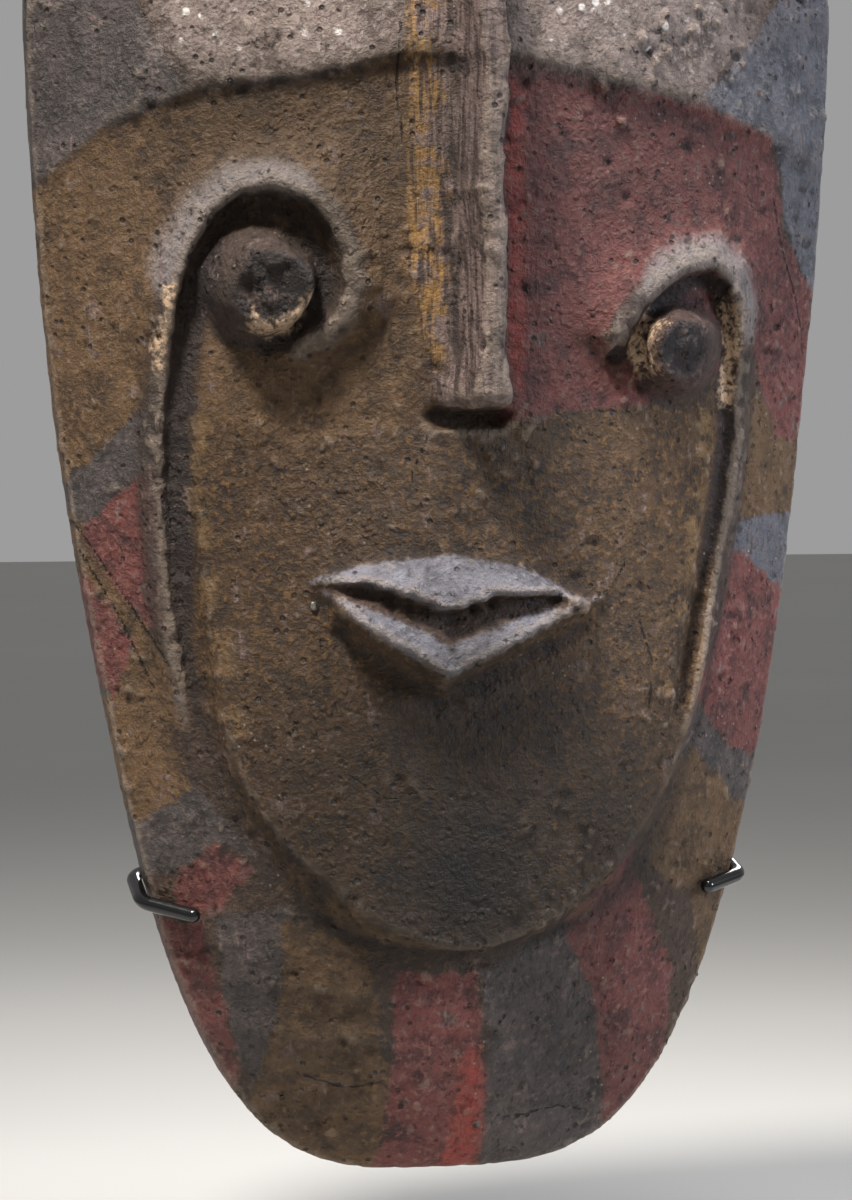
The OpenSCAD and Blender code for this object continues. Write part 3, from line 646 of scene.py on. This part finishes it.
# Shares of brightness by place: below 1 grime and painted shade, above 1 painted light.
SHADE_AND_GRIME = [(-70, 190, 1.1), (60, 190, 1.1), (-60, 150, 1.15), (60, 145, 1.1), (-125, 120, 0.95),
         (-130, 60, 1.1), (-80, 105, 0.62), (-30, 100, 0.6), (-15, 60, 1.0), (-120, 10, 1.15),
         (50, 90, 0.8), (30, 40, 0.85), (105, 60, 1.0), (125, 0, 1.4), (130, 110, 1.1),
         (-70, 0, 1.05), (0, -15, 0.95), (70, -10, 1.75), (-60, -50, 1.0), (70, -60, 1.5),
         (0, -100, 0.42), (-40, -130, 0.5), (40, -130, 0.48), (0, -150, 0.09), (0, -130, 0.2),
         (-110, -60, 1.15), (-112, -105, 1.3), (110, -60, 1.5), (105, -115, 1.3),
         (-80, -150, 1.1), (-90, -190, 1.0),
         (-40, -200, 0.62), (-70, -185, 0.75), (0, -200, 1.6), (35, -200, 0.75), (75, -180, 1.15),
         (0, -235, 1.2)]


def painted(areas, x, z):
    return np.max([inside(area, x, z) for area in areas], axis=0)


def spread(spots, x, z):
    """Blends values laid at a few places over the whole front."""
    total, weight = np.zeros_like(x), np.zeros_like(x)
    for sx, sz, value in spots:
        share = 1 / (((x - sx) ** 2 + (z - sz) ** 2) / 400 + 0.25) ** 1.6
        total += share * value
        weight += share
    return total / weight


def store(name, values):
    layer = mesh.attributes.new(name, "FLOAT", "POINT")
    layer.data.foreach_set("value", np.ascontiguousarray(values, dtype=np.float32))


def crescent(eye, radius, width, middle, half_span, x, z):
    """How far inside a curved strip beside an eye a place lies."""
    gap, angle = polar(eye, x, z)
    turn = abs((angle - middle + math.pi) % (2 * math.pi) - math.pi)
    return np.minimum(width / 2 - abs(gap - radius), (half_span - turn) * 8)


x, z = place[:, 0], place[:, 2]
for name, areas in {"ochre": OCHRE_AREAS, "red": RED_AREAS, "grey": GREY_AREAS,
                    "white": WHITE_AREAS, "lip": PLATE_AREAS, "face": FACE_AREAS,
                    "strip": STRIP_AREAS, "cool_lit_grey": COOL_LIT_GREY_AREAS,
                    "bright_red": BRIGHT_RED_AREAS, "mouth": MOUTH_AREAS}.items():
    store(name, painted(areas, x, z))
store("bare", np.where(hollow_side, 6.0, -6.0))
left_gap, left_side = line_distance(LEFT_RIDGE, x, z)
right_gap, right_side = line_distance(RIGHT_RIDGE, x, z)
left_in, right_in = left_gap * -left_side, right_gap * right_side
channel = np.maximum(4.6 - abs(left_in - 8.2), 3.2 - abs(right_in - 6.6))
store("channel", channel - 7 * step(-25, -82, z) - 3.5 * step(52, 66, z))
coil = np.maximum(5.0 - abs(left_in + 2.6), 5.0 - abs(right_in + 2.6))
store("coil", coil - 9 * step(62, 40, z + 0.35 * (x > 0) * 45) - 9 * step(62, 48, abs(x)))
store("face_line", 1.9 - abs(face_edge(x, z) + 2.4) - 9 * step(-50, -30, z))
store("ridge", 4.4 - np.minimum(left_gap, right_gap) - 9 * step(-60, -100, z))
store("knob", np.maximum(knob_rim(*LEFT_KNOB, x, z) + 5 - polar(LEFT_EYE, x, z)[0],
                         knob_rim(*RIGHT_KNOB, x, z) + 4 - polar(RIGHT_EYE, x, z)[0]))
store("pupil", np.maximum(12.8 - pupil_gap(*LEFT_PUPIL, x, z), 9.0 - pupil_gap(*RIGHT_PUPIL, x, z)))
# Pale crescents by the knobs and pale lines on ridge sides: chipped paint and painted highlight.
chips_and_highlights = [crescent(LEFT_EYE, 12.4, 4.2, -1.15, 0.95, x, z),
         crescent(RIGHT_EYE, 13.6, 4.4, 3.0, 0.7, x, z),
         2.2 - line_distance([(93, 46), (95, 34), (94, 14)], x, z)[0],
         1.2 - line_distance([(-102, 26), (-101, 40), (-99, 50)], x, z)[0]]
store("chips_and_highlights", np.max(chips_and_highlights, axis=0))
face_in = face_edge(x, z)
gold_lines = [1.4 - abs(face_in - 0.8) - 9 * step(-150, -135, z),
              1.6 - abs(z - along_line(UPPER_TOP, x) - 1.2) - 9 * step(30, 42, abs(x + 4)),
              2.0 - abs(left_in - 14.5) - 9 * step(-4, 6, z - 12) - 9 * step(-95, -110, z),
              2.4 - abs(right_in - 15) - 9 * step(-4, 6, z - 12) - 9 * step(-80, -95, z)]
store("gold", np.max(gold_lines, axis=0))
store("nose", nose(x, z) * (z > NOSE_LOW) - 1.5)
store("crack", np.min([line_distance(line, x, z)[0] for line in CRACKS], axis=0))
# Share of brightness per vertex: grime, painted shade and painted light. The hollow keeps 1.
store("shade_and_grime", np.where(hollow_side, 1.0, spread(SHADE_AND_GRIME, x, z)))
print("painted areas:", len(OCHRE_AREAS) + len(RED_AREAS) + len(GREY_AREAS) + len(WHITE_AREAS))

# %% Crests and hollows, for wear, painted highlights and painted shade
def smoothed(points, edges, rounds):
    """Each vertex drawn again and again to the middle of its neighbours."""
    a, b = edges.T
    count = len(points)
    links = np.bincount(a, minlength=count) + np.bincount(b, minlength=count)
    for _ in range(rounds):
        total = np.column_stack([
            np.bincount(a, points[b, k], count) + np.bincount(b, points[a, k], count)
            for k in range(3)])
        points = 0.5 * points + 0.5 * total / np.maximum(links, 1)[:, None]
    return points


edge_ends = np.empty(len(mesh.edges) * 2, dtype=np.int32)
mesh.edges.foreach_get("vertices", edge_ends)
edge_ends = edge_ends.reshape(-1, 2)
facing_out = normals(mesh)
near_round = smoothed(place, edge_ends, 14)
far_round = smoothed(near_round, edge_ends, 70)
store("crest", np.sum((place - near_round) * facing_out, axis=1))
store("swell", np.sum((place - far_round) * facing_out, axis=1))
mesh.shade_smooth()
print("crests and hollows measured")

# %% [markdown]
# ## A small finish kit
# A finish is a tree of nodes. This helper gives each node that the lesson uses a short name, so
# that a finish below reads like a recipe: noise, threshold, mix.


# %% Finish kit
class Finish:
    """A material being built, with short names for its nodes."""

    def __init__(self, name, roughness=0.5, metallic=0.0, stretch=(1.0, 1.0, 1.0)):
        self.material = bpy.data.materials.new(name)
        self.material.use_nodes = True
        self.tree = self.material.node_tree
        self.shader = self.tree.nodes["Principled BSDF"]
        self.shader.inputs["Roughness"].default_value = roughness
        self.shader.inputs["Metallic"].default_value = metallic
        self.place = self.tree.nodes.new("ShaderNodeTexCoord").outputs["Object"]
        self.stretched = self.scaled(stretch)

    def set(self, socket, value):
        if isinstance(value, bpy.types.NodeSocket):
            self.tree.links.new(value, socket)
        else:
            socket.default_value = value

    def scaled(self, factors):
        node = self.tree.nodes.new("ShaderNodeVectorMath")
        node.operation = "MULTIPLY"
        self.tree.links.new(self.place, node.inputs[0])
        node.inputs[1].default_value = factors
        return node.outputs[0]

    def math(self, operation, a, b):
        node = self.tree.nodes.new("ShaderNodeMath")
        node.operation = operation
        self.set(node.inputs[0], a)
        self.set(node.inputs[1], b)
        return node.outputs[0]

    def times(self, a, b):
        return self.math("MULTIPLY", a, b)

    def plus(self, a, b):
        return self.math("ADD", a, b)

    def minus(self, a, b):
        return self.math("SUBTRACT", a, b)

    def noise(self, scale, detail=4.0, rough=0.55, place=None, twist=0.0):
        node = self.tree.nodes.new("ShaderNodeTexNoise")
        self.tree.links.new(place or self.place, node.inputs["Vector"])
        node.inputs["Scale"].default_value = scale
        node.inputs["Detail"].default_value = detail
        node.inputs["Roughness"].default_value = rough
        node.inputs["Distortion"].default_value = twist
        return node.outputs["Fac"]

    def cells(self, scale):
        """Distance to the nearest of many scattered spots."""
        node = self.tree.nodes.new("ShaderNodeTexVoronoi")
        self.tree.links.new(self.place, node.inputs["Vector"])
        node.inputs["Scale"].default_value = scale
        return node.outputs["Distance"]

    def rise(self, value, low, high):
        """0 below low, 1 above high, and soft between. It falls if low is above high."""
        node = self.tree.nodes.new("ShaderNodeMapRange")
        node.interpolation_type = "SMOOTHSTEP"
        start, end = (0.0, 1.0) if low < high else (1.0, 0.0)
        self.set(node.inputs["Value"], value)
        node.inputs["From Min"].default_value = min(low, high)
        node.inputs["From Max"].default_value = max(low, high)
        node.inputs["To Min"].default_value = start
        node.inputs["To Max"].default_value = end
        return node.outputs["Result"]

    def mix(self, share, a, b):
        node = self.tree.nodes.new("ShaderNodeMix")
        node.data_type = "RGBA"
        self.set(node.inputs["Factor"], share)
        self.set(node.inputs[6], self.colour(a))
        self.set(node.inputs[7], self.colour(b))
        return node.outputs[2]

    @staticmethod
    def colour(value):
        """Colours are given as display values from 0 to 255 and turned to linear light."""
        if isinstance(value, bpy.types.NodeSocket):
            return value
        parts = [v / 255 for v in value]
        return [p / 12.92 if p <= 0.04045 else ((p + 0.055) / 1.055) ** 2.4 for p in parts] + [1.0]

    def stored(self, name):
        node = self.tree.nodes.new("ShaderNodeAttribute")
        node.attribute_name = name
        return node.outputs["Fac"]

    def relief(self, height, size_mm, under=None, strength=1.0):
        node = self.tree.nodes.new("ShaderNodeBump")
        node.inputs["Distance"].default_value = size_mm * MM
        node.inputs["Strength"].default_value = strength
        self.set(node.inputs["Height"], height)
        if under is not None:
            self.tree.links.new(under, node.inputs["Normal"])
        return node.outputs["Normal"]

    def done(self, **inputs):
        for name, value in inputs.items():
            socket = self.shader.inputs[name.replace("_", " ")]
            if name == "Base_Color":
                value = self.colour(value)
            self.set(socket, value)
        return self.material


# %% [markdown]
# ## Crusty earth paint
# The paint is laid on in layers, as a painter works: a dark brown ground, then grey, ochre, red
# and white over it, and last a darkening and brightening by place that is partly grime and partly
# painted shade and light. Every layer is broken by noise, crests are rubbed pale and get a painted
# highlight, and hollows get a painted shade.

# %% Paint on carved wood
def painted_wood():
    f = Finish("painted_wood", stretch=(1.0, 1.0, 0.12))
    broad = f.noise(22, 3)
    middle = f.noise(95, 5, 0.6)
    fine = f.noise(430, 5, 0.65)
    grit = f.noise(1500, 3, 0.7)
    grain = f.noise(420, 5, 0.6, f.stretched, 0.2)
    swell = f.stored("swell")
    crest = f.stored("crest")

    fray = f.plus(f.times(f.minus(middle, 0.5), 9.0), f.times(f.minus(fine, 0.5), 6.0))

    def area(name, share=1.0, low=-1.2, high=1.2):
        edge = f.rise(f.plus(f.stored(name), fray), low, high)
        return f.times(edge, share)

    def blotches(noise_of, low, high, share=1.0):
        return f.times(f.rise(noise_of, low, high), share)

    def pigment(deep, usual, bright):
        low = f.mix(blotches(middle, 0.30, 0.60), deep, usual)
        return f.mix(blotches(fine, 0.46, 0.78), low, bright)

    ground = pigment((44, 34, 29), (68, 52, 42), (94, 74, 56))
    grey = pigment((48, 43, 42), (74, 66, 64), (100, 92, 90))
    # A paler, bluer grey: the right side's grey paint with a painted cool light on it.
    cool_lit_grey = pigment((62, 61, 66), (92, 91, 97), (122, 121, 128))
    red = pigment((56, 32, 32), (104, 57, 53), (138, 93, 87))
    bright_red = pigment((112, 42, 36), (150, 58, 48), (178, 84, 70))
    ochre = pigment((58, 43, 31), (94, 71, 48), (120, 95, 66))
    face = pigment((38, 29, 24), (68, 50, 33), (116, 84, 44))
    strip = f.mix(blotches(grain, 0.40, 0.62), (70, 51, 36), (158, 119, 66))
    white = pigment((84, 70, 64), (134, 119, 112), (178, 166, 160))
    mouth = pigment((48, 36, 31), (78, 61, 52), (112, 88, 72))
    lip = pigment((76, 72, 76), (114, 112, 120), (138, 137, 146))
    bare = f.mix(blotches(grain, 0.36, 0.64), (104, 76, 50), (152, 118, 82))
    bare = f.mix(blotches(broad, 0.4, 0.62), bare, (98, 72, 50))

    colour = f.mix(area("grey"), ground, grey)
    colour = f.mix(area("ochre"), colour, ochre)
    # Painted cool light: the right side's grey is laid paler and bluer.
    colour = f.mix(area("cool_lit_grey"), colour, cool_lit_grey)
    colour = f.mix(area("red"), colour, red)
    colour = f.mix(area("bright_red", 0.6, -2.5, 3.0), colour, bright_red)
    colour = f.mix(area("white", 0.9, -6.0, 8.0), colour, white)
    colour = f.mix(area("face", 0.9, -2.0, 2.0), colour, face)
    colour = f.mix(area("strip", 0.9, -2.5, 2.5), colour, strip)
    colour = f.mix(area("ridge", 0.85), colour, (54, 44, 39))
    colour = f.mix(area("knob", 0.9, -2.5, 2.5), colour, (58, 47, 43))
    # The curl of each ridge is painted pale grey: partly worn paint, partly a painted highlight on
    # top.
    colour = f.mix(area("coil", 0.8, -3.5, 3.5), colour, (134, 125, 123))
    colour = f.mix(area("channel", 0.88, -1.5, 1.5), colour, (36, 30, 30))
    colour = f.mix(area("face_line", 0.5, -1.5, 1.5), colour, (38, 31, 29))
    colour = f.mix(area("pupil", 0.94, -0.8, 0.8), colour, (36, 31, 31))
    nose_wood = f.mix(blotches(grain, 0.38, 0.62), (62, 49, 46), (122, 104, 99))
    colour = f.mix(area("nose", 0.95, -0.8, 0.8), colour, nose_wood)
    colour = f.mix(f.rise(f.stored("mouth"), -0.7, 0.3), colour, mouth)
    lip_edge = f.plus(f.stored("lip"), f.times(fray, 0.5))
    colour = f.mix(f.rise(lip_edge, -0.8, 1.2), colour, lip)

    thin = f.times(blotches(fine, 0.5, 0.62), blotches(broad, 0.44, 0.6))
    colour = f.mix(f.times(thin, 0.4), colour, ground)
    colour = f.mix(blotches(grain, 0.58, 0.72, 0.5), colour, (50, 38, 31))
    gold = f.times(area("gold", 0.32, -2.5, 3.0), blotches(middle, 0.42, 0.6))
    colour = f.mix(gold, colour, (146, 116, 74))

    off_lips = f.rise(f.stored("mouth"), 1.0, -2.0)
    off_lips = f.times(off_lips, f.rise(f.stored("lip"), 1.0, -2.0))
    # Pale paint on swelling forms: partly rubbed wear, partly a painted highlight.
    wear_and_highlight = f.times(f.rise(swell, 0.9, 2.6), blotches(fine, 0.44, 0.62))
    off_knobs = f.rise(f.stored("knob"), 2.0, -2.0)
    wear_and_highlight = f.times(f.times(wear_and_highlight, off_lips), off_knobs)
    colour = f.mix(f.times(wear_and_highlight, 0.3), colour, (150, 136, 124))
    # A painted highlight along sharp crests and edges.
    painted_edge_highlight = f.times(f.rise(crest, 0.15, 0.6), off_knobs)
    colour = f.mix(f.times(painted_edge_highlight, 0.22), colour, (170, 152, 134))
    # Painted shade in creases and sharp hollows.
    colour = f.mix(f.times(f.rise(crest, -0.12, -0.6), 0.6), colour, (38, 29, 25))
    # Painted shade in broad hollows, such as under the brow.
    colour = f.mix(f.times(f.rise(swell, -1.5, -4.2), 0.5), colour, (38, 29, 26))

    pits = f.times(f.rise(f.cells(190), 0.24, 0.1), blotches(middle, 0.44, 0.56))
    colour = f.mix(f.times(pits, 0.8), colour, (34, 26, 22))
    flecks = f.times(f.rise(f.cells(260), 0.16, 0.06), blotches(broad, 0.52, 0.66))
    colour = f.mix(f.times(flecks, 0.5), colour, (176, 160, 144))
    chalk = f.times(f.rise(f.cells(170), 0.3, 0.16), blotches(middle, 0.5, 0.58))
    colour = f.mix(f.times(chalk, area("white", 0.8, 4.0, 12.0)), colour, (226, 220, 216))
    # Pale chips with a painted highlight on the knob rims and ridge sides.
    chip_and_highlight = f.times(area("chips_and_highlights", 0.9, -2.0, 1.5), blotches(fine, 0.36, 0.56))
    colour = f.mix(chip_and_highlight, colour, (196, 166, 136))
    cracks = f.rise(f.plus(f.stored("crack"), f.times(fine, 0.8)), 1.0, 0.5)
    colour = f.mix(f.times(cracks, 0.85), colour, (30, 23, 20))
    colour = f.mix(blotches(grit, 0.6, 0.74, 0.6), colour, (50, 40, 34))

    # The paint is scaled by the shade and grime share: grime, painted shade and painted light.
    shaded_and_grimy = f.tree.nodes.new("ShaderNodeVectorMath")
    shaded_and_grimy.operation = "SCALE"
    f.set(shaded_and_grimy.inputs[0], colour)
    f.set(shaded_and_grimy.inputs["Scale"], f.stored("shade_and_grime"))
    inside_wood = f.rise(f.stored("bare"), -0.5, 0.5)
    colour = f.mix(inside_wood, shaded_and_grimy.outputs[0], bare)

    lumps = f.times(f.rise(f.cells(120), 0.36, 0.1), blotches(middle, 0.46, 0.6))
    crumbs = f.times(f.rise(f.cells(250), 0.34, 0.1), blotches(broad, 0.4, 0.56))
    lumps = f.plus(lumps, crumbs)
    painted_share = f.minus(1.0, f.times(inside_wood, 0.8))
    normal = f.relief(f.times(lumps, painted_share), 1.1, None, 1.0)
    hollows = f.plus(f.times(pits, 0.6), f.times(cracks, 1.2))
    normal = f.relief(f.minus(fine, hollows), 2.2, normal, 1.0)
    normal = f.relief(f.plus(grit, f.times(grain, 1.5)), 0.4, normal, 0.9)
    rough = f.plus(0.34, f.times(fine, 0.4))
    return f.done(Base_Color=colour, Roughness=rough, Normal=normal, Specular_IOR_Level=0.3)


carving.data.materials.append(painted_wood())
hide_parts("mask_body")
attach(carving, "mask")
print("carving faces:", len(carving.data.polygons))

# %% [markdown]
# ## Finishes of the mount
# The mount's own solids are right as they are, so they only get finishes: satin black on the
# frame, a fine powder coat on the plate, glossy sleeves, felt, zinc steel and brass.


# %% Mount finishes
def metal(name, dark, light, roughness, depth=0.05):
    f = Finish(name, metallic=1.0)
    wide = f.noise(60, 4)
    fine = f.noise(900, 4, 0.6)
    colour = f.mix(f.rise(wide, 0.36, 0.64), dark, light)
    rough = f.plus(roughness, f.times(f.minus(fine, 0.5), 0.3))
    return f.done(Base_Color=colour, Roughness=rough, Normal=f.relief(fine, depth))


def coated(name, dark, light, roughness, grain_scale, depth):
    f = Finish(name)
    wide = f.noise(45, 4)
    orange_peel = f.noise(grain_scale, 3, 0.5)
    dust = f.rise(f.noise(240, 5, 0.7), 0.56, 0.72)
    colour = f.mix(f.rise(wide, 0.36, 0.64), dark, light)
    colour = f.mix(f.times(dust, 0.18), colour, (120, 116, 110))
    rough = f.plus(roughness, f.times(dust, 0.2))
    return f.done(Base_Color=colour, Roughness=rough, Normal=f.relief(orange_peel, depth),
                  Coat_Weight=0.2, Coat_Roughness=0.3)


def sleeve():
    f = Finish("sleeve_plastic")
    ripple = f.noise(70, 3)
    scuffs = f.rise(f.noise(700, 5, 0.7), 0.6, 0.75)
    colour = f.mix(f.times(scuffs, 0.25), (9, 9, 10), (52, 50, 48))
    rough = f.plus(0.16, f.times(scuffs, 0.3))
    return f.done(Base_Color=colour, Roughness=rough, Normal=f.relief(ripple, 0.25),
                  Specular_IOR_Level=0.6)


def felt():
    f = Finish("pad_felt", roughness=0.95)
    fibres = f.noise(1900, 6, 0.75)
    colour = f.mix(f.rise(fibres, 0.38, 0.66), (22, 22, 24), (66, 64, 62))
    return f.done(Base_Color=colour, Normal=f.relief(fibres, 0.5), Sheen_Weight=0.4)


FINISHES = {
    "plate_metal": coated("plate_metal", (30, 30, 32), (42, 42, 44), 0.5, 1600, 0.08),
    "frame_metal": coated("frame_metal", (16, 16, 18), (27, 27, 29), 0.36, 700, 0.04),
    "sleeve_plastic": sleeve(),
    "pad_felt": felt(),
    "bare_steel": metal("bare_steel", (150, 150, 154), (188, 188, 192), 0.34),
    "rod_steel": metal("rod_steel", (118, 117, 118), (160, 158, 157), 0.38, depth=0.04),
    "nail_steel": metal("nail_steel", (176, 172, 164), (214, 212, 206), 0.24, depth=0.1),
    "clamp_brass": metal("clamp_brass", (176, 138, 74), (214, 178, 104), 0.3, depth=0.06),
}
slot_of = {part["node"]: part["material_slot"] for part in frame["record"]["subparts"]}
for node, slot in slot_of.items():
    if slot in FINISHES:
        solid = frame["nodes"][node]
        solid.data.materials.clear()
        solid.data.materials.append(FINISHES[slot])
print("finished:", len(slot_of) - 1, "mount parts in", len(FINISHES), "finishes")

# %% [markdown]
# ## Studio
# A pale floor, a pale even surround and four round lamps: a warm key from the upper left, a cool
# one from the right, one from above that grazes the forehead and the top of the lips, and one
# behind for the hollow and the mount. Their beams are narrowed, so that the floor doesn't glare. A
# narrow beam puts the same power on less ground, so the watts are low.


# %% Floor
FLOOR_DROP, FLOOR_HALF = 0.05, 6.0
floor_z = block_low[2] - FLOOR_DROP
bm = bmesh.new()
bmesh.ops.create_grid(bm, x_segments=1, y_segments=1, size=FLOOR_HALF)
bmesh.ops.translate(bm, vec=(0, 0, floor_z), verts=bm.verts)
floor = new_piece("floor", bm)
paper = Finish("floor_paper", roughness=0.9)
floor.data.materials.append(paper.done(
    Base_Color=paper.mix(paper.noise(3, 3), (172, 171, 169), (180, 179, 177))))
print(f"floor at z {floor_z:.3f} m")


# %% Lamps
BEAM = math.radians(70)
MIDDLE = Vector((0.0, -0.08, -0.02))


def lamp(name, spot, size, watts, colour):
    """A round lamp that looks at the middle of the mask."""
    data = bpy.data.lights.new(name, "AREA")
    data.shape = "DISK"
    data.size = size
    data.energy = watts
    data.color = colour
    data.spread = BEAM
    made = bpy.data.objects.new(name, data)
    made.location = spot
    made.rotation_euler = (MIDDLE - Vector(spot)).to_track_quat("-Z", "Y").to_euler()
    bpy.context.scene.collection.objects.link(made)


lamp("key", (-0.55, -0.62, 1.42), 0.28, 8.3, (1.0, 0.95, 0.88))
lamp("fill", (1.35, -0.50, 0.30), 0.5, 2.2, (0.74, 0.84, 1.0))
lamp("above", (0.15, -0.50, 1.45), 0.4, 2.25, (0.97, 0.98, 1.0))
lamp("back", (0.75, 1.15, 0.75), 0.6, 2.0, (1.0, 0.98, 0.95))
world = bpy.data.worlds.new("surround")
world.use_nodes = True
surround = world.node_tree.nodes["Background"]
surround.inputs["Color"].default_value = (0.80, 0.80, 0.80, 1.0)
surround.inputs["Strength"].default_value = 0.42
bpy.context.scene.world = world
print("lamps:", len(bpy.data.lights))

# %% Camera
CAMERA_TURN, CAMERA_RISE = math.radians(-13), math.radians(3)
CAMERA_AIM = Vector((-0.008, -0.060, -0.053))
CAMERA_AWAY = 1.4
CAMERA_LENS = 174.0
camera_data = bpy.data.cameras.new("camera")
camera_data.sensor_fit = "HORIZONTAL"
camera_data.sensor_width = 36.0
camera_data.lens = CAMERA_LENS
camera = bpy.data.objects.new("camera", camera_data)
back = Vector((math.sin(CAMERA_TURN) * math.cos(CAMERA_RISE),
               -math.cos(CAMERA_TURN) * math.cos(CAMERA_RISE), math.sin(CAMERA_RISE)))
camera.location = CAMERA_AIM + CAMERA_AWAY * back
camera.rotation_euler = (-back).to_track_quat("-Z", "Y").to_euler()
bpy.context.scene.collection.objects.link(camera)
bpy.context.scene.camera = camera
bpy.context.scene.view_settings.view_transform = "Standard"
print(f"camera {CAMERA_AWAY} m away, lens {CAMERA_LENS:.0f} mm")

# %% [markdown]
# ## Bring the scene up to date
# The carving must stay inside the space that the frame gives it.

# %% Sizes
bpy.context.view_layer.update()
